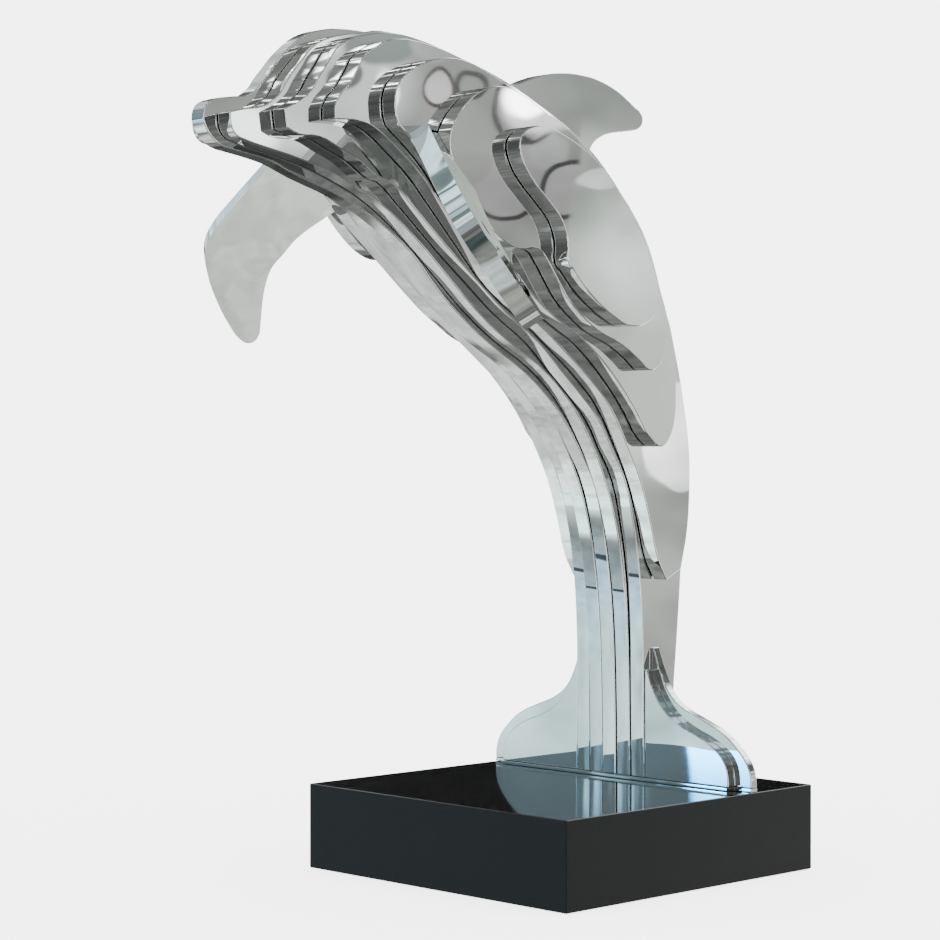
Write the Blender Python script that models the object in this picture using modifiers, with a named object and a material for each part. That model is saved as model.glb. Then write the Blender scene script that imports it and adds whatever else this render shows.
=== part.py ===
"""Metal dolphin garden sculpture: upright steel slices side by side on a black plinth.

Frame: metres, +Z up. The origin is the centre of the plinth's underside. The beak points
along -Y, and the slices are stacked along X, with the centre slice at X = 0.

The figure is drawn on a grid that is GRID_UNITS tall, from the top of the foot strip to the
crest of the head. An outline point is (along, up): along is the grid distance towards the
figure's back, and up is the grid height above the foot strip. Slices are numbered outwards
from the centre slice, which is number 0.
"""

import math

import bmesh
import bpy
from mathutils import Matrix, Vector

# Sizes in metres
PLINTH_SIDE = 0.400
PLINTH_HEIGHT = 0.095
PLINTH_BEVEL = 0.0015
FOOT_HEIGHT = 0.004
FOOT_MARGIN = 0.002
FOOT_TO_PLINTH_BACK = 0.065
FIGURE_HEIGHT = 0.805
SLICE_THICKNESS = 0.021
FIN_THICKNESS = 0.021
FLUKE_THICKNESS = 0.011
FIT_GAP = 0.0003

# The pectoral fin's outer face looks this far behind square to the side, and this far up
FIN_TURN = math.radians(34.7)
FIN_LIFT = math.radians(31.7)

# The figure's drawing grid, and the steps of a curve between two outline points
GRID_UNITS = 805
CURVE_STEPS = 3
UNIT = FIGURE_HEIGHT / GRID_UNITS

# Slices that other pieces or shapes belong to
CENTRE = 0
FLUKE_SLICE = 2
KINKED = 3
FIN_SLICE = 4
OUTERMOST = 6

# Heights and widths that follow from the sizes
STRIP_BOTTOM = PLINTH_HEIGHT + FIT_GAP
FIGURE_BOTTOM = STRIP_BOTTOM + FOOT_HEIGHT + FIT_GAP
FLUKE_REACH = PLINTH_SIDE / 2 - PLINTH_BEVEL

# Under side of each slice, from the tail up to the front. The first point is a corner.
BELLIES = {
    0: [(81, 0), (80, 85), (75, 189), (67, 251), (57, 298), (43, 338), (26, 365), (0, 400),
        (-28, 428), (-64, 455), (-122, 487), (-165, 515), (-197, 540), (-236, 578), (-277, 605),
        (-331, 630), (-392, 648), (-431, 661), (-470, 667), (-492, 671), (-505, 679)],
    1: [(82, 0), (81, 86), (76, 189), (67, 252), (56, 297), (41, 337), (13, 387), (-22, 430),
        (-65, 463), (-116, 490), (-163, 521), (-202, 553), (-250, 592), (-302, 626),
        (-357, 649), (-410, 663), (-449, 670), (-480, 676), (-491, 680), (-497, 690)],
    2: [(83, 0), (82, 88), (80, 186), (74, 244), (65, 289), (51, 337), (28, 374), (9, 403),
        (-19, 430), (-55, 460), (-87, 487), (-138, 518), (-177, 547), (-226, 584), (-278, 626),
        (-307, 647), (-321, 650), (-348, 665), (-375, 675), (-401, 684), (-428, 684)],
    3: [(98, 224), (83, 249), (70, 292), (54, 336), (30, 379), (4, 418), (-28, 448), (-73, 481),
        (-99, 499), (-169, 543), (-213, 585), (-255, 627), (-282, 653), (-312, 675),
        (-340, 693), (-360, 700)],
}

# Upper side of each slice, from the front over the forehead. The first point is a corner.
HEADS = {
    0: [(-512, 688), (-515, 697), (-511, 710), (-501, 716), (-477, 721), (-457, 725),
        (-438, 741), (-421, 762), (-402, 780), (-385, 792), (-363, 800), (-338, 804),
        (-300, 805), (-250, 801), (-200, 791)],
    1: [(-498, 702), (-483, 706), (-455, 712), (-442, 720), (-434, 727), (-422, 745),
        (-406, 763), (-392, 777), (-379, 785), (-352, 794), (-331, 798)],
    2: [(-446, 708), (-424, 719), (-410, 731), (-403, 742), (-391, 758), (-377, 776),
        (-357, 787), (-335, 794)],
    3: [(-399, 713), (-392, 725), (-380, 737), (-369, 753), (-359, 768), (-342, 779),
        (-322, 788)],
}

# Short front edge of slices 2 and 3: the point where it meets the under side
FRONTS = {2: (-443, 689), 3: (-399, 700)}

# Back of slice 2, from the crest to the tail's foot, and the steps of the slices beside it
BACK = [(-300, 799), (-262, 796), (-223, 788), (-168, 774), (-102, 749), (-42, 720), (2, 688),
        (48, 643), (73, 607), (96, 560), (123, 492), (142, 428), (151, 371), (152, 320),
        (147, 234), (140, 153), (134, 90)]
BACK_STEPS = {0: 9, 1: 5, 2: 0, 3: -9}
BACK_FOOT = 130
FOOT_STEPS = {0: 3, 1: 1.5, 2: 0}

# Dorsal fin on the centre slice, from its root on the crest round the tip to the back
DORSAL = [(-140, 774), (-91, 771), (-44, 786), (-9, 793), (29, 794), (54, 791), (87, 781),
          (113, 767), (125, 760), (128, 751), (121, 742), (105, 738), (76, 733), (57, 727),
          (42, 716), (36, 700), (42, 676)]
DORSAL_END = 8

# Lower back of the kinked slice, and the kink where it ends above the foot
KINKED_BACK = [(40, 635), (64, 601), (86, 556), (111, 489), (127, 428), (137, 371),
               (138, 330), (134, 280)]
KINKED_START = 7
KINK = (123, 236)

# The three flank slices are rounded all the way
FLANKS = {
    4: [(-325, 693), (-333, 700), (-337, 715), (-336, 732), (-326, 747), (-300, 763),
        (-276, 771), (-241, 773), (-197, 761), (-112, 727), (-56, 698), (-16, 666), (26, 624),
        (47, 592), (65, 546), (87, 488), (90, 447), (88, 405), (79, 384), (68, 375), (50, 382),
        (24, 414), (-4, 444), (-52, 484), (-95, 507), (-122, 522), (-153, 545), (-205, 587),
        (-256, 629), (-271, 648), (-289, 666), (-312, 684)],
    5: [(-282, 683), (-275, 704), (-252, 730), (-233, 741), (-210, 747), (-187, 745),
        (-134, 723), (-104, 710), (-75, 691), (-40, 661), (-5, 625), (22, 586), (41, 542),
        (50, 498), (48, 480), (35, 462), (22, 459), (6, 469), (-22, 485), (-62, 500),
        (-87, 515), (-107, 531), (-123, 550), (-137, 568), (-152, 582), (-181, 581),
        (-200, 586), (-222, 600), (-250, 628), (-277, 665)],
    6: [(-202, 687), (-197, 697), (-178, 707), (-160, 708), (-140, 703), (-104, 689),
        (-85, 678), (-61, 658), (-31, 626), (-1, 583), (14, 541), (11, 524), (-3, 510),
        (-34, 505), (-50, 510), (-96, 537), (-120, 560), (-129, 568), (-130, 591),
        (-140, 613), (-156, 628), (-187, 655), (-199, 673)],
}

# Tail flukes: (share of the reach beyond the tail, grid height), from the inner foot corner
FLUKE_CORNERS = {"front": [(0, 0), (0, 122), (0.018, 122)],
                 "back": [(0, 0), (0, 147), (0.02, 147)]}
FLUKE_EDGES = {
    "front": [(0.09, 98), (0.22, 75), (0.40, 60), (0.57, 51), (0.72, 39), (0.79, 29),
              (0.83, 16)],
    "back": [(0.10, 118), (0.20, 94), (0.34, 80), (0.52, 70), (0.73, 57), (0.87, 41),
             (0.96, 26), (0.995, 12)],
}
FLUKE_ENDS = {"front": (0.84, 0), "back": (1.0, 0)}
FLUKE_FRONT = 83.5

# Pectoral fin in its own plane, from the front of its root: (outwards, back and down)
FIN_ROOT = (-318, 691)
FIN_START = (-70, -2)
FIN_EDGE = [(6, 2), (23, 25), (42, 50), (59, 73), (75, 96), (85, 122), (82, 149), (72, 180),
            (55, 215), (43, 232), (33, 237), (24, 231), (21, 210), (20, 185), (17, 160),
            (11, 141), (1, 127), (-14, 106), (-43, 81), (-54, 72)]
FIN_END = (-100, 40)


def make_material(name, color, roughness, metallic):
    """A Principled material for one kind of surface."""
    material = bpy.data.materials.new(name)
    material.use_nodes = True
    shader = material.node_tree.nodes["Principled BSDF"]
    shader.inputs["Base Color"].default_value = (*color, 1.0)
    shader.inputs["Roughness"].default_value = roughness
    shader.inputs["Metallic"].default_value = metallic
    return material


def new_collection(name):
    """A collection linked into the scene."""
    collection = bpy.data.collections.new(name)
    bpy.context.scene.collection.children.link(collection)
    return collection


def outward(line, step):
    """The open line moved sideways by step, away from the figure.

    The line runs from the front over the back, so away from the figure is on its left.
    """
    moved = []
    last = len(line) - 1
    for index, point in enumerate(line):
        before = Vector(line[max(index - 1, 0)])
        after = Vector(line[min(index + 1, last)])
        along = (after - before).normalized()
        moved.append(tuple(Vector(point) + step * Vector((-along.y, along.x))))
    return moved


def ring(*strokes):
    """Join strokes into one closed outline of (along, up, is_corner).

    A stroke is smooth but for its first point, which is a corner.
    """
    knots = []
    for stroke in strokes:
        for index, (along, up) in enumerate(stroke):
            knots.append((along, up, index == 0))
    return knots


def round_ring(line):
    """A closed outline without corners."""
    return [(along, up, False) for along, up in line]


def grown(knots, step):
    """A closed outline moved outwards by step, for a clearance."""
    line = [(along, up) for along, up, _ in knots]
    padded = outward([line[-1], *line, line[0]], step)[1:-1]
    return [(*point, knot[2]) for point, knot in zip(padded, knots)]


def slice_outline(number):
    """Outline of the slice with this number, counted from the centre slice."""
    if number in FLANKS:
        return round_ring(FLANKS[number])
    belly = BELLIES[number]
    head = HEADS[number]
    back = outward(BACK, BACK_STEPS[number])
    if number == KINKED:
        back = back[1:KINKED_START] + KINKED_BACK
        foot = KINK
    else:
        foot = (BACK_FOOT + FOOT_STEPS[number], 0)
    if number == CENTRE:
        return ring(belly + head + DORSAL + back[DORSAL_END:], [foot])
    if number in FRONTS:
        return ring(belly, [FRONTS[number]], head + back, [foot])
    return ring(belly, head + back, [foot])


def flat_plate(name, knots, thickness, matrix):
    """A flat plate from a closed outline, as a mesh object in the pose of matrix.

    The outline lies in the plate's own XY plane, in metres, and the thickness is centred
    on that plane.
    """
    curve = bpy.data.curves.new(name, "CURVE")
    curve.dimensions = "2D"
    curve.fill_mode = "BOTH"
    curve.extrude = thickness / 2
    curve.resolution_u = CURVE_STEPS
    spline = curve.splines.new("BEZIER")
    spline.bezier_points.add(len(knots) - 1)
    spline.use_cyclic_u = True
    for point, (across, up, is_corner) in zip(spline.bezier_points, knots):
        point.co = (across, up, 0)
        point.handle_left_type = "VECTOR" if is_corner else "AUTO"
        point.handle_right_type = point.handle_left_type
    drawn = bpy.data.objects.new(name, curve)
    bpy.context.scene.collection.objects.link(drawn)
    bpy.context.view_layer.update()
    evaluated = drawn.evaluated_get(bpy.context.evaluated_depsgraph_get())
    mesh = bpy.data.meshes.new_from_object(evaluated)
    bpy.data.objects.remove(drawn)
    bpy.data.curves.remove(curve)
    weld_caps(mesh)
    mesh.name = name
    plate = bpy.data.objects.new(name, mesh)
    plate.matrix_world = matrix
    return plate


def weld_caps(mesh):
    """Join the curve's loose caps to its sides."""
    cage = bmesh.new()
    cage.from_mesh(mesh)
    bmesh.ops.remove_doubles(cage, verts=cage.verts, dist=0.00001)
    bmesh.ops.recalc_face_normals(cage, faces=cage.faces)
    cage.to_mesh(mesh)
    cage.free()


def box(name, size, bottom_centre):
    """A box that stands on its bottom centre, as a primitive with its scale applied."""
    bpy.ops.mesh.primitive_cube_add(size=1)
    block = bpy.context.object
    block.name = name
    block.data.transform(Matrix.Diagonal((*size, 1.0)))
    block.location = Vector(bottom_centre) + Vector((0, 0, size[2] / 2))
    for owner in list(block.users_collection):
        owner.objects.unlink(block)
    return block


def foot_back():
    """Back of the foot strip, along the figure."""
    return (BACK_FOOT + FOOT_STEPS[CENTRE]) * UNIT + FOOT_MARGIN


def figure_place():
    """Where the drawing grid's zero lies along Y, from the plinth's back edge."""
    return PLINTH_SIDE / 2 - FOOT_TO_PLINTH_BACK - foot_back()


def in_metres(knots):
    """Grid knots as metres."""
    return [(along * UNIT, up * UNIT, is_corner) for along, up, is_corner in knots]


def upright_matrix(across):
    """The pose of a plate that stands in the YZ plane at X = across."""
    turn = Matrix(((0, 0, 1), (1, 0, 0), (0, 1, 0))).to_4x4()
    return Matrix.Translation((across, figure_place(), FIGURE_BOTTOM)) @ turn


def add_plinth(parts, material):
    """The black block under the figure."""
    plinth = box("plinth", (PLINTH_SIDE, PLINTH_SIDE, PLINTH_HEIGHT), (0, 0, 0))
    bevel = plinth.modifiers.new("rounded edges", "BEVEL")
    bevel.width = PLINTH_BEVEL
    bevel.segments = 2
    plinth.data.materials.append(material)
    parts.objects.link(plinth)


def add_foot_strip(parts, material):
    """The thin strip under the tail and the flukes, stepped in plan as they are."""
    inner, width = fluke_span()
    front = BELLIES[CENTRE][0][0] * UNIT
    between = FLUKE_FRONT * UNIT + FLUKE_THICKNESS
    steps = [(inner + FLUKE_ENDS["front"][0] * width, front, between),
             (FLUKE_REACH, between, between + FLUKE_THICKNESS),
             (inner, between + FLUKE_THICKNESS, foot_back())]
    right = [(across, along) for across, *ends in steps for along in ends]
    left = [(-across, along) for across, along in reversed(right)]
    knots = [(across, along, True) for across, along in right + left]
    middle = Vector((0, figure_place(), STRIP_BOTTOM + FOOT_HEIGHT / 2))
    strip = flat_plate("foot_strip", knots, FOOT_HEIGHT, Matrix.Translation(middle))
    strip.data.materials.append(material)
    parts.objects.link(strip)


def add_slices(parts, material):
    """The centre slice and six mirrored pairs beside it."""
    thickness = SLICE_THICKNESS - FIT_GAP
    for number in range(CENTRE, OUTERMOST + 1):
        knots = in_metres(slice_outline(number))
        across = number * SLICE_THICKNESS
        if number == CENTRE:
            centre = flat_plate("slice_centre", knots, thickness, upright_matrix(0))
            centre.data.materials.append(material)
            parts.objects.link(centre)
            continue
        right = flat_plate(f"slice_right_{number}", knots, thickness, upright_matrix(across))
        right.data.materials.append(material)
        parts.objects.link(right)
        left = bpy.data.objects.new(f"slice_left_{number}", right.data)
        left.matrix_world = upright_matrix(-across)
        parts.objects.link(left)


def fluke_span():
    """A fluke's inner edge and its width, across the figure."""
    inner = (FLUKE_SLICE + 0.5) * SLICE_THICKNESS + FIT_GAP / 2
    return inner, FLUKE_REACH - inner


def add_flukes(parts, material):
    """Two plates on each side of the tail, the front one lower than the back one."""
    inner, width = fluke_span()
    for order, layer in enumerate(("front", "back")):
        knots = []
        for share, up in FLUKE_CORNERS[layer]:
            knots.append((inner + share * width, up * UNIT, True))
        for share, up in FLUKE_EDGES[layer]:
            knots.append((inner + share * width, up * UNIT, False))
        share, up = FLUKE_ENDS[layer]
        knots.append((inner + share * width, up * UNIT, True))
        middle = figure_place() + FLUKE_FRONT * UNIT + (order + 0.5) * FLUKE_THICKNESS
        for side, turn in (("right", 0), ("left", math.pi)):
            stand = Matrix.Rotation(turn, 4, "Z") @ Matrix.Rotation(math.pi / 2, 4, "X")
            matrix = Matrix.Translation((0, middle, FIGURE_BOTTOM)) @ stand
            name = f"fluke_{layer}_{side}"
            plate = flat_plate(name, knots, FLUKE_THICKNESS - FIT_GAP, matrix)
            plate.data.materials.append(material)
            parts.objects.link(plate)


def fin_matrix(side):
    """The pose of a pectoral fin's middle plane, with side +1 on the right."""
    up_share = math.sin(FIN_LIFT)
    level = math.cos(FIN_LIFT)
    normal = Vector((level * math.cos(FIN_TURN), level * math.sin(FIN_TURN), up_share))
    outwards = normal.cross(Vector((0, 0, 1))).normalized()
    down = normal.cross(outwards)
    root = Vector(((FIN_SLICE + 0.5) * SLICE_THICKNESS,
                   figure_place() + FIN_ROOT[0] * UNIT,
                   FIGURE_BOTTOM + FIN_ROOT[1] * UNIT))
    middle = root + normal * FIN_THICKNESS / 2
    axes = [outwards, down, normal]
    if side < 0:
        axes = [Vector((-a.x, a.y, a.z)) for a in axes]
        axes[2] = -axes[2]
        middle = Vector((-middle.x, middle.y, middle.z))
    turn = Matrix(axes).transposed().to_4x4()
    return Matrix.Translation(middle) @ turn


def add_cutter(name, cutter, cutters):
    """Put a cutter in its own collection, out of sight."""
    cutter.name = name
    cutter.hide_render = True
    cutter.display_type = "WIRE"
    cutters.objects.link(cutter)
    return cutter


def cut(target, cutter):
    """Cut the cutter's shape out of the target."""
    boolean = target.modifiers.new(f"clear of {cutter.name}", "BOOLEAN")
    boolean.operation = "DIFFERENCE"
    boolean.object = cutter
    boolean.solver = "EXACT"


def add_fins(parts, cutters, material):
    """The two slanted pectoral fins, each against the faces of slices 4 and 5."""
    outline = in_metres(ring([FIN_START], FIN_EDGE, [FIN_END]))
    next_knots = in_metres(grown(slice_outline(FIN_SLICE + 1), FIT_GAP / UNIT))
    root_face = (FIN_SLICE + 0.5) * SLICE_THICKNESS + FIT_GAP / 2
    block_size = (2 * root_face, 2 * FIGURE_HEIGHT, 2 * FIGURE_HEIGHT)
    body_block = add_cutter("body_block", box("body_block", block_size, (0, 0, 0)), cutters)
    for side, word in ((1, "right"), (-1, "left")):
        fin = flat_plate(f"fin_{word}", outline, FIN_THICKNESS, fin_matrix(side))
        matrix = upright_matrix(side * (FIN_SLICE + 1) * SLICE_THICKNESS)
        thickness = SLICE_THICKNESS + FIT_GAP
        clearance = flat_plate(f"slice_room_{word}", next_knots, thickness, matrix)
        add_cutter(f"slice_room_{word}", clearance, cutters)
        cut(fin, body_block)
        cut(fin, clearance)
        fin.data.materials.append(material)
        parts.objects.link(fin)


def main():
    """Clear the scene and build the sculpture."""
    for old in list(bpy.data.objects):
        bpy.data.objects.remove(old)
    parts = new_collection("dolphin_sculpture")
    cutters = new_collection("cutters")
    steel = make_material("polished_steel", (0.72, 0.73, 0.73), 0.06, 1.0)
    black = make_material("black_plinth", (0.012, 0.013, 0.014), 0.12, 0.0)
    add_plinth(parts, black)
    add_foot_strip(parts, steel)
    add_slices(parts, steel)
    add_flukes(parts, steel)
    add_fins(parts, cutters, steel)


main()
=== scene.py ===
"""Looks of a dolphin garden sculpture: polished steel slices on a black granite plinth.

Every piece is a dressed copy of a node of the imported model, in metres, in the model's frame.
"""

from __future__ import annotations

import logging
import math
from dataclasses import dataclass
from enum import Enum
from typing import Sequence, Union

import bmesh
import bpy
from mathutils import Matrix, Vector


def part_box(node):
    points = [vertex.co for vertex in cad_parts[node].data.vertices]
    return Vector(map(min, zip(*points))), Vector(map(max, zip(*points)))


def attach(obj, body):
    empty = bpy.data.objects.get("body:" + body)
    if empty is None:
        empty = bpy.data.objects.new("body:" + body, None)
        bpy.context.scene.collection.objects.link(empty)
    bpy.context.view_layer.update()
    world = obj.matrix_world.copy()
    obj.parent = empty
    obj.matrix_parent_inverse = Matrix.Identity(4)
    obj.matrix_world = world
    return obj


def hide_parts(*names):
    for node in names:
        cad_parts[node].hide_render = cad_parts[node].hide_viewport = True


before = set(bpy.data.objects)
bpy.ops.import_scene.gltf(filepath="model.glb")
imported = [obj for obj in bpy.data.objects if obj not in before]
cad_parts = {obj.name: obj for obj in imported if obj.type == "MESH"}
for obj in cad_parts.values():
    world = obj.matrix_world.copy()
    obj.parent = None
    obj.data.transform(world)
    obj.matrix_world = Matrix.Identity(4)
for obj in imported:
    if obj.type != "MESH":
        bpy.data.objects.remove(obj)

LOG = logging.getLogger("dolphin")

ROOT_BODY = "root"

# distances in metres, angles in degrees
WELD_DISTANCE = 0.00002
FLAT_ANGLE = 0.05
SEAT_TOLERANCE = 0.0001
FLAT_FACE_WEIGHT = 50
LEVEL_NORMAL = 0.9
QUARTER_TURN = 90.0
HALF_TURN = 180.0

# places of the colour sockets on a Mix node
MIX_FIRST, MIX_SECOND, MIX_RESULT = 6, 7, 2


class Slot(Enum):
    """The record's material slots."""

    STEEL = "polished_steel"
    GRANITE = "black_plinth"


class Side(Enum):
    """The two sides of the figure, by their words in the node names."""

    RIGHT = "right"
    LEFT = "left"


class Plate(Enum):
    """The kinds of plate, by their words in the node names."""

    SLICE = "slice"
    FIN = "fin"
    FLUKE = "fluke"


class Face(Enum):
    """The strip's two level faces, by the direction in which they look."""

    TOP = 1.0
    UNDERSIDE = -1.0


class Axis(Enum):
    """The three axes."""

    X = "X"
    Y = "Y"
    Z = "Z"


class Slope(Enum):
    """How a value goes from one end of a range to the other."""

    STRAIGHT = "LINEAR"
    SOFT = "SMOOTHSTEP"


Color = tuple[float, float, float]
Value = Union["Socket", float]


@dataclass(frozen=True)
class Pattern:
    """A soft noise.

    The scale is in waves per metre, roughly. The detail is how many finer layers lie on the
    waves, and the roughness is their share.
    """

    scale: float
    detail: float = 2.0
    roughness: float = 0.5


class Socket:
    """A shader socket that takes part in Python expressions."""

    def __init__(self, nodes: Nodes, output: bpy.types.NodeSocket | None) -> None:
        """Wrap an output.

        Args:
            nodes: The builder of the node tree that holds the socket.
            output: The output socket, or None where a node has none.
        """
        self.nodes = nodes
        self.output = output

    def __add__(self, other: Value) -> Socket:
        """Sum."""
        return self.nodes.math("ADD", self, other)

    __radd__ = __add__

    def __sub__(self, other: Value) -> Socket:
        """Difference."""
        return self.nodes.math("SUBTRACT", self, other)

    def __rsub__(self, other: Value) -> Socket:
        """Difference with the socket on the right."""
        return self.nodes.math("SUBTRACT", other, self)

    def __mul__(self, other: Value) -> Socket:
        """Product."""
        return self.nodes.math("MULTIPLY", self, other)

    __rmul__ = __mul__

    def __gt__(self, other: Value) -> Socket:
        """One where the socket is greater, and zero elsewhere."""
        return self.nodes.math("GREATER_THAN", self, other)

    def power(self, exponent: float) -> Socket:
        """The socket raised to a power."""
        return self.nodes.math("POWER", self, exponent)


class Nodes:
    """Builds the node tree of one material or world."""

    def __init__(self, tree: bpy.types.NodeTree) -> None:
        """Start on an emptied tree.

        Args:
            tree: The node tree to fill.
        """
        self.tree = tree
        self.tree.nodes.clear()

    def add(self, kind: str, settings: dict | None = None, inputs: dict | None = None,
            output: int | str = 0) -> Socket:
        """Add a node.

        Args:
            kind: The node's type.
            settings: Properties of the node, set first.
            inputs: Values or sockets, by the input's name or number.
            output: The output to return.

        Returns:
            The chosen output.
        """
        node = self.tree.nodes.new(kind)
        for name, value in (settings or {}).items():
            if name == "stops":
                self._set_stops(node.color_ramp, value)
            else:
                setattr(node, name, value)
        for name, value in (inputs or {}).items():
            if isinstance(value, Socket):
                self.tree.links.new(value.output, node.inputs[name])
            else:
                node.inputs[name].default_value = value
        return Socket(self, node.outputs[output] if node.outputs else None)

    def _set_stops(self, ramp: bpy.types.ColorRamp,
                   stops: Sequence[tuple[float, Color]]) -> None:
        """Give a ramp its stops.

        Args:
            ramp: The ramp.
            stops: Each stop's place, from 0 to 1, and its colour.
        """
        while len(ramp.elements) < len(stops):
            ramp.elements.new(0.5)
        for element, (place, color) in zip(ramp.elements, stops):
            element.position = place
            element.color = (*color, 1.0)

    def math(self, operation: str, *values: Value) -> Socket:
        """Add a Math node.

        Args:
            operation: What it works out.
            values: Its inputs, in order.

        Returns:
            The result.
        """
        return self.add("ShaderNodeMath", {"operation": operation}, dict(enumerate(values)))

    def scaled(self, vector: Socket, factor: Value) -> Socket:
        """A vector or colour times a number."""
        return self.add("ShaderNodeVectorMath", {"operation": "SCALE"},
                        {0: vector, "Scale": factor})

    def remap(self, value: Socket, source: tuple[float, float], target: tuple[float, float],
              slope: Slope) -> Socket:
        """Move a value from one range to another, and hold it inside.

        Args:
            value: The value.
            source: The ends of its own range.
            target: What they become.
            slope: How it goes from one to the other.

        Returns:
            The moved value.
        """
        return self.add("ShaderNodeMapRange", {"interpolation_type": slope.value}, {
            "Value": value, "From Min": source[0], "From Max": source[1],
            "To Min": target[0], "To Max": target[1]})

    def place(self) -> Socket:
        """Object coordinates, which are the model's own metres."""
        return self.add("ShaderNodeTexCoord", output="Object")

    def axis(self, vector: Socket, axis: Axis) -> Socket:
        """One coordinate of a vector."""
        return self.add("ShaderNodeSeparateXYZ", inputs={"Vector": vector}, output=axis.value)

    def noise(self, vector: Socket, pattern: Pattern) -> Socket:
        """Soft noise from 0 to 1.

        Args:
            vector: Where to read it.
            pattern: Its scale and layers.

        Returns:
            The noise.
        """
        return self.add("ShaderNodeTexNoise", inputs={
            "Vector": vector, "Scale": pattern.scale, "Detail": pattern.detail,
            "Roughness": pattern.roughness})

    def mix_color(self, factor: Socket, first: Socket | Color,
                  second: Socket | Color) -> Socket:
        """Blend two colours.

        Args:
            factor: How much of the second there is.
            first: The first colour.
            second: The second colour.

        Returns:
            The blend.
        """
        inputs = {0: factor}
        for number, color in ((MIX_FIRST, first), (MIX_SECOND, second)):
            inputs[number] = color if isinstance(color, Socket) else (*color, 1.0)
        return self.add("ShaderNodeMix", {"data_type": "RGBA"}, inputs, MIX_RESULT)

    def surface(self, shader: Socket) -> None:
        """End a material's tree in its shader."""
        self.add("ShaderNodeOutputMaterial", inputs={"Surface": shader})


def new_material(name: str) -> tuple[bpy.types.Material, Nodes]:
    """Add an empty material.

    Args:
        name: The material's name.

    Returns:
        The material and the builder of its nodes.
    """
    material = bpy.data.materials.new(name)
    material.use_nodes = True
    return material, Nodes(material.node_tree)


@dataclass(frozen=True)
class PolishedSteel:
    """Mirror-polished stainless sheet, a little wavy, with a faint polishing haze.

    Waves and ripples are the polisher's unevenness, and each slice has its own. A lean and a
    sag shift what a sheet mirrors, as a slight bend does, without a change to its form.
    """

    tint: Color = (0.80, 0.815, 0.81)
    haze_tint: Color = (0.72, 0.74, 0.735)
    smooth: float = 0.008
    hazy: float = 0.05
    haze: Pattern = Pattern(14.0, 4.0, 0.6)
    haze_falloff: float = 3.0
    grain: Pattern = Pattern(420.0)
    grain_share: float = 0.004
    waves: Pattern = Pattern(8.0, 1.0, 0.4)
    wave_height: float = 0.00022
    ripples: Pattern = Pattern(42.0, 0.0)
    ripple_height: float = 0.000004
    lean: float = 0.0
    sag: float = 0.0
    sag_start: float = 0.60
    slice_thickness: float = 0.021
    between_slices: float = 3.7

    def build(self, name: str) -> bpy.types.Material:
        """Make the material.

        Args:
            name: The material's name.

        Returns:
            The material.
        """
        material, nodes = new_material(name)
        place = nodes.place()
        haze = nodes.noise(place, self.haze)
        haziness = (self.hazy - self.smooth) * haze.power(self.haze_falloff)
        grain = nodes.noise(place, self.grain) * self.grain_share
        bump = nodes.add("ShaderNodeBump", inputs={
            "Height": self.height(nodes, place), "Strength": 1.0, "Distance": 1.0},
            output="Normal")
        shader = nodes.add("ShaderNodeBsdfPrincipled", inputs={
            "Base Color": nodes.mix_color(haze, self.tint, self.haze_tint),
            "Roughness": self.smooth + haziness + grain, "Metallic": 1.0, "Normal": bump})
        nodes.surface(shader)
        return material

    def height(self, nodes: Nodes, place: Socket) -> Socket:
        """How far the sheet stands out, in metres.

        Args:
            nodes: The material's nodes.
            place: The place on the sheet.

        Returns:
            The height.
        """
        across = nodes.axis(place, Axis.X) * (1.0 / self.slice_thickness) + 0.5
        number = nodes.math("FLOOR", across)
        shift = nodes.add("ShaderNodeCombineXYZ", inputs={"Z": number * self.between_slices})
        apart = nodes.add("ShaderNodeVectorMath", {"operation": "ADD"}, {0: place, 1: shift})
        waves = nodes.noise(apart, self.waves)
        ripples = nodes.noise(apart, self.ripples)
        up = nodes.axis(place, Axis.Z)
        below = nodes.math("MAXIMUM", self.sag_start - up, 0.0)
        return (waves * self.wave_height + ripples * self.ripple_height
                - up * self.lean - below * below * self.sag)


@dataclass(frozen=True)
class BlackGranite:
    """Fine black granite: polished on top, satin on the sides."""

    base: Color = (0.0010, 0.0012, 0.0013)
    fleck: Color = (0.0030, 0.0034, 0.0035)
    polished: float = 0.012
    satin: float = 0.38
    polish_depth: float = 0.0008
    grain: Pattern = Pattern(900.0, 2.0, 0.7)
    grain_strength: float = 0.15
    grain_depth: float = 0.00005
    cloud: Pattern = Pattern(22.0, 3.0)
    cloud_share: float = 0.08
    top_gloss: float = 0.5
    side_gloss: float = 0.14

    def build(self, name: str, top: float) -> bpy.types.Material:
        """Make the material.

        Args:
            name: The material's name.
            top: Height of the stone's top.

        Returns:
            The material.
        """
        material, nodes = new_material(name)
        place = nodes.place()
        on_top = nodes.axis(place, Axis.Z) > top - self.polish_depth
        grain = nodes.noise(place, self.grain)
        cloud = nodes.noise(place, self.cloud)
        color = nodes.mix_color(grain, self.base, self.fleck)
        bump = nodes.add("ShaderNodeBump", inputs={
            "Height": grain, "Strength": self.grain_strength, "Distance": self.grain_depth},
            output="Normal")
        sides = nodes.add("ShaderNodeBsdfPrincipled", inputs={
            "Base Color": color, "Roughness": self.satin + cloud * self.cloud_share,
            "Normal": bump, "Specular IOR Level": self.side_gloss})
        face = nodes.add("ShaderNodeBsdfPrincipled", inputs={
            "Base Color": color, "Roughness": self.polished, "Normal": bump,
            "Specular IOR Level": self.top_gloss})
        nodes.surface(nodes.add("ShaderNodeMixShader", inputs={0: on_top, 1: sides, 2: face}))
        return material


@dataclass(frozen=True)
class Rim:
    """A rounding of edges: its width, its faces across, and the angle of a sharp edge."""

    width: float
    segments: int
    angle: float


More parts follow.
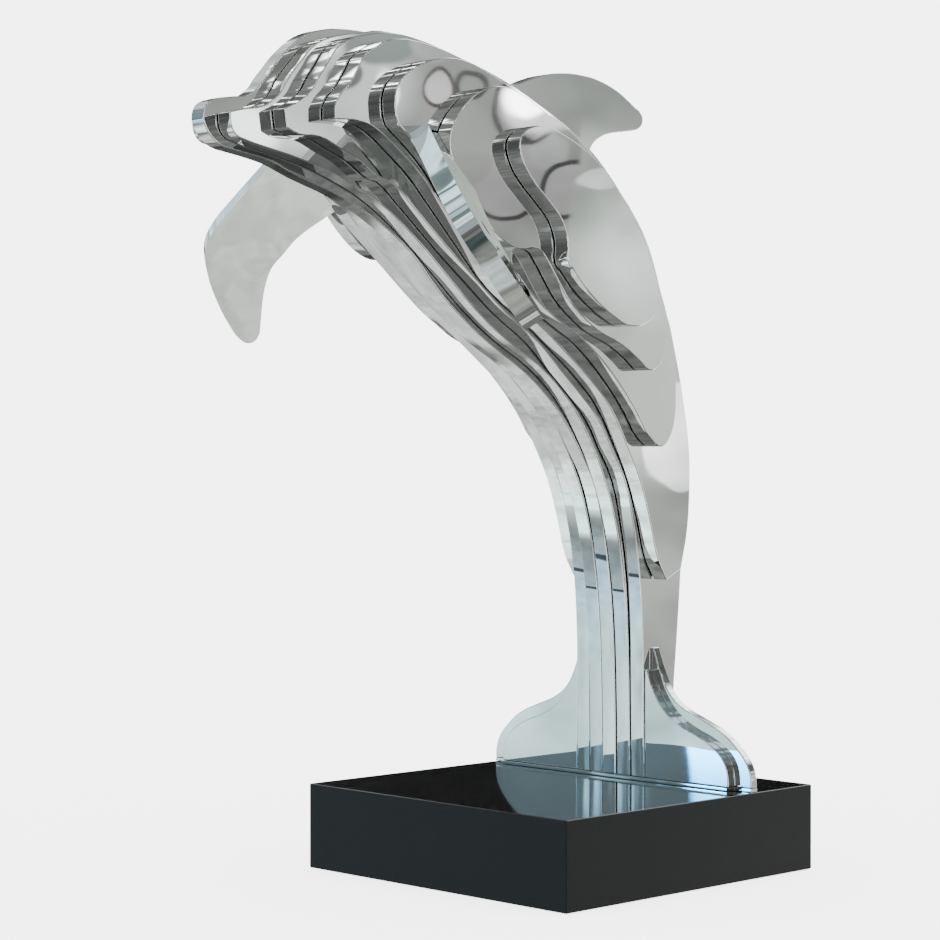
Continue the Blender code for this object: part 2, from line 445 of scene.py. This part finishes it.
def select_only(piece: bpy.types.Object) -> None:
    """Make a piece the only selected and the active object.

    Args:
        piece: The piece.
    """
    bpy.ops.object.select_all(action="DESELECT")
    piece.select_set(True)
    bpy.context.view_layer.objects.active = piece


def merged_copy(node: str, name: str) -> bpy.types.Object:
    """Copy a node's mesh and join its loose triangles into clean flat faces.

    Args:
        node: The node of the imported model.
        name: The new piece's name.

    Returns:
        The new piece.
    """
    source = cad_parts[node]
    piece = bpy.data.objects.new(name, source.data.copy())
    piece.data.name = name
    piece.data.materials.clear()
    bpy.context.scene.collection.objects.link(piece)
    select_only(piece)
    bpy.ops.object.mode_set(mode="EDIT")
    bpy.ops.mesh.select_all(action="SELECT")
    bpy.ops.mesh.remove_doubles(threshold=WELD_DISTANCE)
    bpy.ops.mesh.dissolve_limited(angle_limit=math.radians(FLAT_ANGLE))
    bpy.ops.mesh.normals_make_consistent(inside=False)
    bpy.ops.object.mode_set(mode="OBJECT")
    return piece


def weigh_rims(piece: bpy.types.Object, rim: Rim, seated: float) -> None:
    """Mark a piece's sharp edges, but none around the face it is seated with.

    Args:
        piece: The piece.
        rim: The rounding that the marked edges get.
        seated: How far from the middle plane that face is.
    """
    mesh = bmesh.new()
    mesh.from_mesh(piece.data)
    weights = mesh.edges.layers.float.new("bevel_weight_edge")
    for edge in mesh.edges:
        free = any(abs(vertex.co.x) > seated + SEAT_TOLERANCE for vertex in edge.verts)
        if free and edge.is_manifold and edge.calc_face_angle() > math.radians(rim.angle):
            edge[weights] = 1.0
    mesh.to_mesh(piece.data)
    mesh.free()


def round_rims(piece: bpy.types.Object, rim: Rim, weighed: bool = False) -> None:
    """Round a piece's sharp rims and keep its flat faces flat in the light.

    Args:
        piece: The piece.
        rim: The rounding.
        weighed: Whether only the marked edges are rounded.
    """
    select_only(piece)
    bevel = piece.modifiers.new("rounded rims", "BEVEL")
    bevel.limit_method = "WEIGHT" if weighed else "ANGLE"
    bevel.angle_limit = math.radians(rim.angle)
    bevel.width = rim.width
    bevel.segments = rim.segments
    bevel.use_clamp_overlap = True
    bpy.ops.object.modifier_apply(modifier=bevel.name)
    bpy.ops.object.shade_smooth_by_angle(angle=math.radians(rim.angle))
    weighted = piece.modifiers.new("flat faces", "WEIGHTED_NORMAL")
    weighted.keep_sharp = True
    weighted.weight = FLAT_FACE_WEIGHT
    bpy.ops.object.modifier_apply(modifier=weighted.name)


def dress(piece: bpy.types.Object, material: bpy.types.Material,
          node: str) -> None:
    """Give a piece its material, attach it to the root body and hide the node that it replaces.

    Args:
        piece: The piece.
        material: Its material.
        node: The node that it replaces.
    """
    piece.data.materials.append(material)
    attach(piece, ROOT_BODY)
    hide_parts(node)
    LOG.info("%s: %d faces", piece.name, len(piece.data.polygons))


@dataclass
class Plates:
    """The steel plates of the figure: slices, fins and flukes."""

    steel: bpy.types.Material
    middle_steel: bpy.types.Material
    flank_steel: bpy.types.Material
    fin_steel: bpy.types.Material
    wavy_steel: bpy.types.Material
    joint: float = 0.0006
    rim: Rim = Rim(0.0012, 4, 32.0)
    slice_pairs: int = 6
    middle: str = "slice_centre"
    flanks: tuple[str, ...] = ("slice_right_4", "slice_left_4")

    def node_names(self) -> list[str]:
        """List the plates.

        Returns:
            The names of their nodes, from the centre slice outwards on each side.
        """
        names = [self.middle]
        for side in Side:
            names += [f"slice_{side.value}_{number + 1}" for number in range(self.slice_pairs)]
            names += [f"fin_{side.value}", f"fluke_front_{side.value}",
                      f"fluke_back_{side.value}"]
        return names

    def build(self) -> None:
        """Dress every plate."""
        for node in self.node_names():
            piece = merged_copy(node, f"polished_{node}")
            kind = Plate(node.split("_")[0])
            if kind is Plate.SLICE:
                self.open_joints(piece)
            if kind is Plate.FIN:
                seated = min(abs(vertex.co.x) for vertex in piece.data.vertices)
                weigh_rims(piece, self.rim, seated)
            round_rims(piece, self.rim, weighed=kind is Plate.FIN)
            dress(piece, self.steel_of(node, kind), node)

    def steel_of(self, node: str, kind: Plate) -> bpy.types.Material:
        """The steel of one plate.

        Args:
            node: The plate's node.
            kind: The kind of plate.

        Returns:
            Its material.
        """
        if node == self.middle:
            return self.middle_steel
        if node in self.flanks:
            return self.flank_steel
        return {Plate.SLICE: self.steel, Plate.FIN: self.fin_steel,
                Plate.FLUKE: self.wavy_steel}[kind]

    def open_joints(self, piece: bpy.types.Object) -> None:
        """Draw a slice's two faces in a little, which leaves dark joints between slices.

        Args:
            piece: The slice.
        """
        low = min(vertex.co.x for vertex in piece.data.vertices)
        high = max(vertex.co.x for vertex in piece.data.vertices)
        for vertex in piece.data.vertices:
            if vertex.co.x < (low + high) / 2:
                vertex.co.x += self.joint
            else:
                vertex.co.x -= self.joint


@dataclass
class Base:
    """The granite plinth and the steel strip on it."""

    steel: bpy.types.Material
    granite: bpy.types.Material
    recess: float = 0.0025
    above: float = 0.0013
    below: float = 0.0005
    strip_rim: Rim = Rim(0.0003, 2, 32.0)
    plinth_rim: Rim = Rim(0.0006, 2, 25.0)

    def build(self) -> None:
        """Dress the plinth and the strip."""
        strip = merged_copy("foot_strip", "polished_foot_strip")
        self.recess_joint(strip, Face.TOP, self.above)
        self.recess_joint(strip, Face.UNDERSIDE, self.below)
        round_rims(strip, self.strip_rim)
        dress(strip, self.steel, "foot_strip")
        plinth = merged_copy("plinth", "granite_plinth")
        round_rims(plinth, self.plinth_rim)
        dress(plinth, self.granite, "plinth")

    def recess_joint(self, strip: bpy.types.Object, side: Face, height: float) -> None:
        """Draw the strip's edge in below its top, or above its underside.

        Args:
            strip: The strip.
            side: The face beside the recess.
            height: How high the recess is.
        """
        outward = side.value
        select_only(strip)
        bpy.ops.object.mode_set(mode="EDIT")
        mesh = bmesh.from_edit_mesh(strip.data)
        for face in mesh.faces:
            face.select = face.normal.z * outward > LEVEL_NORMAL
        mesh.select_flush_mode()
        bmesh.update_edit_mesh(strip.data)
        bpy.ops.transform.translate(value=(0.0, 0.0, -outward * height))
        bpy.ops.mesh.inset(thickness=self.recess)
        bpy.ops.mesh.extrude_region_move(
            TRANSFORM_OT_translate={"value": (0.0, 0.0, outward * height)})
        bpy.ops.object.mode_set(mode="OBJECT")


@dataclass(frozen=True)
class Glow:
    """A soft-edged oval of the room that the steel mirrors, in degrees.

    Its softness is the share of its radius over which it fades. A ring keeps only that share of
    the radius, at its rim. A speckle breaks the oval up into spots, finer as it grows.
    """

    color: Color
    azimuth: float
    elevation: float
    half_width: float
    half_height: float
    softness: float = 0.5
    ring: float = 0.0
    speckle: float = 0.0


@dataclass(frozen=True)
class Room:
    """The room around the sculpture: what the camera, the floor and the steel see of it."""

    backdrop: float = 5.5
    light: float = 6.5
    levels: tuple[tuple[float, float], ...] = (
        (-90.0, 0.08), (-75.0, 0.14), (-50.0, 0.26), (-24.0, 0.28), (-12.0, 0.20),
        (0.0, 0.13), (24.0, 0.13), (36.0, 0.27), (50.0, 0.36), (90.0, 0.50))
    tint: Color = (1.0, 1.02, 0.98)
    clutter: Pattern = Pattern(8.0, 3.0, 0.55)
    clutter_stretch: tuple[float, float, float] = (1.0, 1.0, 2.2)
    clutter_range: tuple[float, float] = (0.3, 0.7)
    clutter_share: float = 0.4
    smudges: Pattern = Pattern(45.0, 1.0)
    smudge_share: float = 0.25
    speckle_detail: float = 1.0
    speckle_edge: tuple[float, float] = (0.42, 0.60)
    speckle_range: tuple[float, float] = (0.06, 1.0)
    glows: tuple[Glow, ...] = (
        # openings all round: the rounded rims catch them, and the flat faces from the side
        Glow((0.28, 0.30, 0.29), 0.0, 0.0, 32.0, 30.0, 0.3),
        Glow((3.4, 3.5, 3.4), 4.0, 0.0, 28.0, 26.0, 0.4, speckle=7.0),
        Glow((0.28, 0.30, 0.29), 178.0, -6.0, 26.0, 22.0, 0.6),
        Glow((1.9, 2.0, 2.0), 178.0, -6.0, 26.0, 22.0, 0.6, speckle=7.0),
        Glow((3.6, 3.7, 3.6), 64.0, 0.0, 8.0, 26.0, 0.3),
        Glow((2.6, 2.7, 2.7), 112.0, -8.0, 15.0, 14.0, 0.3),
        Glow((4.2, 4.4, 4.4), 266.0, -8.0, 16.0, 14.0, 0.4),
        Glow((3.0, 3.2, 3.1), 88.0, -26.0, 13.0, 9.0, 0.5),
        # the wall at the back right, which the flat faces mirror
        Glow((0.50, 0.51, 0.49), 44.0, 9.0, 9.0, 7.0, 0.3),
        Glow((0.64, 0.66, 0.61), 46.0, -11.0, 10.0, 10.0, 0.2),
        Glow((1.00, 1.04, 0.98), 47.0, 1.3, 9.0, 2.5, 0.4),
        Glow((1.55, 1.66, 1.58), 48.5, 4.6, 1.9, 1.8, 0.5),
        Glow((1.05, 1.12, 1.09), 40.4, 8.3, 2.4, 1.6, 0.5),
        Glow((2.60, 2.75, 2.70), 38.9, 7.2, 0.9, 0.7, 0.6),
        # the big round lamps and their dark hoops on that wall
        Glow((0.66, 0.63, 0.63), 44.98, 6.2, 0.92, 0.92, 0.1),
        Glow((0.10, 0.10, 0.10), 44.98, 6.2, 0.97, 0.97, 0.04, 0.11),
        Glow((0.78, 0.80, 0.78), 45.90, 6.75, 0.40, 0.40, 0.4),
        Glow((0.12, 0.12, 0.12), 44.22, 8.25, 0.34, 0.36, 0.1, 0.3),
        Glow((0.80, 0.77, 0.77), 46.37, 5.95, 0.60, 0.60, 0.1),
        Glow((0.10, 0.10, 0.10), 46.37, 5.95, 0.66, 0.66, 0.04, 0.15),
        Glow((1.05, 1.00, 1.00), 43.52, 8.2, 0.30, 0.36, 0.1),
        Glow((0.10, 0.09, 0.09), 43.52, 8.2, 0.38, 0.44, 0.04, 0.22),
        Glow((0.11, 0.10, 0.10), 45.45, 7.7, 0.82, 0.82, 0.04, 0.12),
        Glow((0.54, 0.55, 0.53), 44.0, 6.9, 0.75, 0.95, 0.1),
        # paler parts of that wall and small lights on it
        Glow((0.80, 0.87, 0.80), 54.0, 5.0, 7.5, 12.0, 0.02),
        Glow((1.70, 1.80, 1.75), 47.1, 6.15, 0.55, 0.22, 0.2),
        Glow((1.00, 1.04, 0.98), 48.0, 1.6, 1.7, 2.9, 0.5),
        Glow((1.25, 1.36, 1.28), 48.2, 4.6, 1.3, 1.5, 0.8),
        Glow((0.48, 0.51, 0.48), 48.5, 11.5, 3.5, 2.2, 0.3),
        Glow((0.66, 0.69, 0.65), 49.0, -4.0, 4.0, 3.3, 0.2),
        Glow((0.76, 0.79, 0.75), 49.0, -1.8, 3.0, 1.4, 0.6),
        Glow((2.50, 2.50, 2.50), 48.95, 0.3, 0.75, 1.25, 0.06),
        Glow((2.60, 2.70, 2.60), 40.7, 9.1, 0.5, 0.22, 0.8),
        Glow((0.26, 0.28, 0.27), 41.3, 8.4, 0.4, 0.30, 0.3),
        Glow((2.20, 2.30, 2.20), 39.7, 8.5, 0.25, 0.6, 0.8),
        Glow((3.00, 3.10, 3.00), 42.3, 8.1, 0.18, 0.35, 0.8),
        Glow((0.38, 0.43, 0.41), 42.2, 9.10, 0.85, 0.50, 0.3),
        Glow((0.75, 0.79, 0.76), 43.45, 9.2, 0.50, 0.45, 0.5),
        # the bright window above the hoops
        Glow((1.60, 1.58, 1.56), 45.75, 7.75, 0.93, 0.62, 0.3),
        Glow((9.00, 9.00, 8.80), 45.50, 7.85, 0.60, 0.36, 0.5),
        # the pale floor at the left, under the belly
        Glow((1.05, 1.12, 1.06), 181.0, -45.0, 42.0, 8.0, 0.35),
        Glow((2.10, 2.35, 2.30), 213.0, -32.0, 11.0, 8.0, 0.8),
        Glow((1.90, 2.60, 2.50), 221.0, -26.0, 9.0, 5.0, 0.8),
        Glow((0.08, 0.08, 0.08), 142.0, -27.0, 10.0, 7.0, 0.5),
        # the floor on the right, under the fins
        Glow((1.05, 1.12, 1.04), 333.0, -59.5, 9.0, 4.5, 0.4),
        Glow((1.60, 1.66, 1.58), 333.0, -66.0, 10.0, 4.0, 0.7),
        Glow((1.00, 1.04, 0.98), 12.0, -65.0, 17.0, 6.0, 0.3),
        Glow((0.48, 0.51, 0.46), 330.0, -46.0, 10.0, 5.0, 0.4),
        # daylight at the left
        Glow((0.18, 0.32, 0.44), 226.0, 8.0, 20.0, 14.0, 0.4),
        Glow((0.57, 0.73, 0.80), 224.0, -12.0, 26.0, 6.2, 1.2),
        Glow((0.85, 1.28, 1.55), 226.0, -6.7, 40.0, 6.9, 0.03),
        Glow((1.28, 1.78, 1.80), 226.0, -4.5, 20.0, 3.8, 0.6),
        Glow((0.07, 0.10, 0.12), 226.0, -6.7, 40.0, 7.1, 0.02, 0.06),
        Glow((6.00, 30.0, 60.0), 232.5, 7.0, 3.4, 2.6, 0.04),
        Glow((2.40, 4.60, 6.00), 227.5, 7.8, 0.8, 1.8, 0.25, speckle=50.0),
        # bright and dim panes, high at the left
        Glow((0.28, 0.37, 0.39), 235.0, 36.0, 60.0, 30.0, 0.3),
        Glow((1.30, 1.80, 1.95), 218.0, 51.0, 5.0, 6.0, 0.15),
        Glow((1.40, 1.95, 2.10), 234.0, 50.0, 8.0, 6.0, 0.15),
        Glow((1.10, 1.40, 1.60), 253.0, 43.0, 7.0, 8.0, 0.2),
        Glow((0.75, 1.00, 1.15), 267.0, 35.0, 4.0, 7.0, 0.3),
        Glow((0.42, 0.52, 0.56), 292.0, 7.0, 8.0, 9.0, 0.3),
        Glow((0.09, 0.12, 0.12), 306.0, -15.0, 5.0, 3.5, 0.6),
        Glow((1.20, 1.50, 1.60), 281.0, 18.0, 7.0, 8.0, 0.4),
        Glow((1.10, 1.35, 1.50), 172.0, 21.0, 12.0, 9.0, 0.6),
        Glow((0.75, 0.92, 0.97), 313.0, 51.0, 14.0, 9.0, 0.4),
        # lamps on the ceiling, left, right and behind
        Glow((0.95, 1.02, 1.02), 176.0, 36.0, 26.0, 9.0, 0.5),
        Glow((8.0, 8.2, 8.2), 184.0, 41.5, 22.0, 0.9, 0.8, speckle=22.0),
        Glow((6.0, 6.2, 6.2), 172.0, 34.0, 18.0, 0.7, 0.8, speckle=22.0),
        Glow((14.0, 14.2, 14.0), 27.0, 28.0, 9.0, 1.2, 0.8, speckle=26.0),
        Glow((12.0, 12.2, 12.0), 33.0, 22.0, 6.0, 0.9, 0.8, speckle=26.0),
        Glow((9.0, 9.2, 9.0), 14.0, 37.0, 10.0, 0.8, 0.8, speckle=26.0),
        Glow((10.0, 10.2, 10.0), 350.0, 42.0, 10.0, 0.9, 0.8, speckle=26.0),
        Glow((7.0, 7.2, 7.0), 338.0, 36.0, 8.0, 0.8, 0.8, speckle=26.0),
        Glow((3.2, 3.4, 3.4), 92.0, 40.0, 34.0, 12.0, 0.6),
        # the bright patch of floor before the sculpture, and the dark room beyond it
        Glow((0.95, 1.06, 1.06), 315.0, -34.0, 9.0, 6.5, 0.6),
        Glow((0.02, 0.02, 0.02), 136.0, 7.0, 12.0, 8.0, 0.3),
    )

    def build(self) -> None:
        """Make the world."""
        world = bpy.data.worlds.new("room")
        bpy.context.scene.world = world
        world.use_nodes = True
        # what lights the pieces is even, so its rays need no aiming
        world.cycles.sampling_method = "NONE"
        nodes = Nodes(world.node_tree)
        seen = nodes.add("ShaderNodeLightPath", output="Is Camera Ray")
        glossy = nodes.add("ShaderNodeLightPath", output="Is Glossy Ray")
        plain = self.light + seen * (self.backdrop - self.light)
        flat = nodes.add("ShaderNodeCombineXYZ", inputs={0: plain, 1: plain, 2: plain})
        pale = nodes.add("ShaderNodeBackground", inputs={"Color": flat, "Strength": 1.0})
        room = nodes.add("ShaderNodeBackground", inputs={
            "Color": self.mirrored(nodes), "Strength": 1.0})
        surround = nodes.add("ShaderNodeMixShader", inputs={0: glossy, 1: pale, 2: room})
        nodes.add("ShaderNodeOutputWorld", inputs={"Surface": surround})

    def mirrored(self, nodes: Nodes) -> Socket:
        """The colour that a mirroring surface meets in each direction.

        Args:
            nodes: The world's nodes.

        Returns:
            The colour.
        """
        way = nodes.add("ShaderNodeTexCoord", output="Generated")
        east, north, up = (nodes.axis(way, axis) for axis in Axis)
        elevation = nodes.math("ARCSINE", up) * math.degrees(1.0)
        azimuth = nodes.math("ARCTAN2", north, east) * math.degrees(1.0)
        color = self.shades(nodes, elevation)
        for glow in self.glows:
            mask = self.patch(nodes, azimuth, elevation, glow)
            if glow.speckle:
                mask = mask * self.speckles(nodes, way, glow.speckle)
            color = nodes.mix_color(mask, color, glow.color)
        return nodes.scaled(color, self.unevenness(nodes, way))

    def shades(self, nodes: Nodes, elevation: Socket) -> Socket:
        """The room's own tone, from the floor up to the ceiling.

        Args:
            nodes: The world's nodes.
            elevation: The direction's elevation.

        Returns:
            The colour.
        """
        top = max(level for _, level in self.levels)
        stops = [((height + QUARTER_TURN) / HALF_TURN,
                  tuple(level / top * part for part in self.tint))
                 for height, level in self.levels]
        share = (elevation + QUARTER_TURN) * (1.0 / HALF_TURN)
        color = nodes.add("ShaderNodeValToRGB", {"stops": stops}, {"Fac": share})
        return nodes.scaled(color, top)

    def unevenness(self, nodes: Nodes, way: Socket) -> Socket:
        """How much brighter or darker the room's clutter makes each direction.

        Args:
            nodes: The world's nodes.
            way: The direction.

        Returns:
            A factor around 1.
        """
        stretched = nodes.add("ShaderNodeVectorMath", {"operation": "MULTIPLY"},
                              {0: way, 1: self.clutter_stretch})
        clutter = nodes.noise(stretched, self.clutter)
        clutter = clutter + (nodes.noise(way, self.smudges) - 0.5) * self.smudge_share
        factors = (1.0 - self.clutter_share, 1.0 + self.clutter_share)
        return nodes.remap(clutter, self.clutter_range, factors, Slope.STRAIGHT)

    def patch(self, nodes: Nodes, azimuth: Socket, elevation: Socket, glow: Glow) -> Socket:
        """How much of a glow there is in each direction.

        Args:
            nodes: The world's nodes.
            azimuth: The direction's azimuth.
            elevation: The direction's elevation.
            glow: The glow.

        Returns:
            Its share, from 0 to 1.
        """
        turn = nodes.math("WRAP", azimuth - glow.azimuth, HALF_TURN, -HALF_TURN)
        across = turn * (1.0 / glow.half_width)
        along = (elevation - glow.elevation) * (1.0 / glow.half_height)
        radius = (across * across + along * along).power(0.5)
        share = self.fade(nodes, radius, 1.0, glow.softness)
        if glow.ring:
            share = share - self.fade(nodes, radius, 1.0 - glow.ring, glow.softness)
        return share

    def speckles(self, nodes: Nodes, way: Socket, scale: float) -> Socket:
        """Break a glow up into spots.

        Args:
            nodes: The world's nodes.
            way: The direction.
            scale: How fine the spots are.

        Returns:
            Nearly zero between the spots and one in them.
        """
        spots = nodes.noise(way, Pattern(scale, self.speckle_detail))
        return nodes.remap(spots, self.speckle_edge, self.speckle_range, Slope.SOFT)

    def fade(self, nodes: Nodes, radius: Socket, end: float, softness: float) -> Socket:
        """One in the middle, falling softly to zero round a radius.

        Args:
            nodes: The world's nodes.
            radius: The distance from the middle.
            end: The radius at which half is left.
            softness: How far the fall reaches.

        Returns:
            The share.
        """
        edge = (end - softness / 2, end + softness / 2)
        return nodes.remap(radius, edge, (1.0, 0.0), Slope.SOFT)


@dataclass
class Studio:
    """The room, a pale floor and the camera."""

    camera_place: tuple[float, float, float] = (1.9562, -2.0426, 0.4705)
    camera_azimuth: float = 45.82
    camera_pitch: float = -0.45
    lens: float = 96.24
    sensor: float = 36.0
    floor_radius: float = 30.0
    floor_drop: float = 0.0005
    floor_color: Color = (0.40, 0.40, 0.40)
    floor_roughness: float = 0.9
    floor_glow: float = 2.9

    def build(self) -> None:
        """Set up the studio."""
        Room().build()
        self.add_floor()
        self.add_camera()

    def add_floor(self) -> None:
        """A wide pale floor, left out of the steel's reflections."""
        bpy.ops.object.select_all(action="DESELECT")
        bpy.ops.mesh.primitive_circle_add(radius=self.floor_radius, fill_type="NGON",
                                          location=(0.0, 0.0, -self.floor_drop))
        floor = bpy.context.object
        floor.name = "floor"
        floor.visible_glossy = False
        material, nodes = new_material("pale_floor")
        nodes.surface(nodes.add("ShaderNodeBsdfPrincipled", inputs={
            "Base Color": (*self.floor_color, 1.0), "Roughness": self.floor_roughness,
            "Specular IOR Level": 0.0, "Emission Color": (1.0, 1.0, 1.0, 1.0),
            "Emission Strength": self.floor_glow}))
        floor.data.materials.append(material)

    def add_camera(self) -> None:
        """The camera at the photograph's angle."""
        data = bpy.data.cameras.new("camera")
        data.sensor_width = self.sensor
        data.lens = self.lens
        camera = bpy.data.objects.new("camera", data)
        bpy.context.scene.collection.objects.link(camera)
        camera.location = self.camera_place
        camera.rotation_euler = (math.radians(QUARTER_TURN + self.camera_pitch), 0.0,
                                 math.radians(self.camera_azimuth))
        bpy.context.scene.camera = camera


def main() -> None:
    """Build the looks in order."""
    logging.basicConfig(level=logging.INFO, format="%(message)s")
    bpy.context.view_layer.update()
    steel = PolishedSteel().build("polished_steel")
    granite = BlackGranite().build("black_granite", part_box("plinth")[1].z)
    middle_steel = PolishedSteel(lean=0.03).build("middle_polished_steel")
    wavy_steel = PolishedSteel(between_slices=0.0, ripples=Pattern(18.0, 0.0),
                               ripple_height=0.0002).build("wavy_polished_steel")
    flank_steel = PolishedSteel(sag=-0.1).build("flank_polished_steel")
    fin_steel = PolishedSteel(between_slices=0.0, ripples=Pattern(30.0, 0.0),
                              ripple_height=0.0005).build("fin_polished_steel")
    Plates(steel, middle_steel, flank_steel, fin_steel, wavy_steel).build()
    Base(wavy_steel, granite).build()
    Studio().build()


if __name__ == "__main__":
    main()
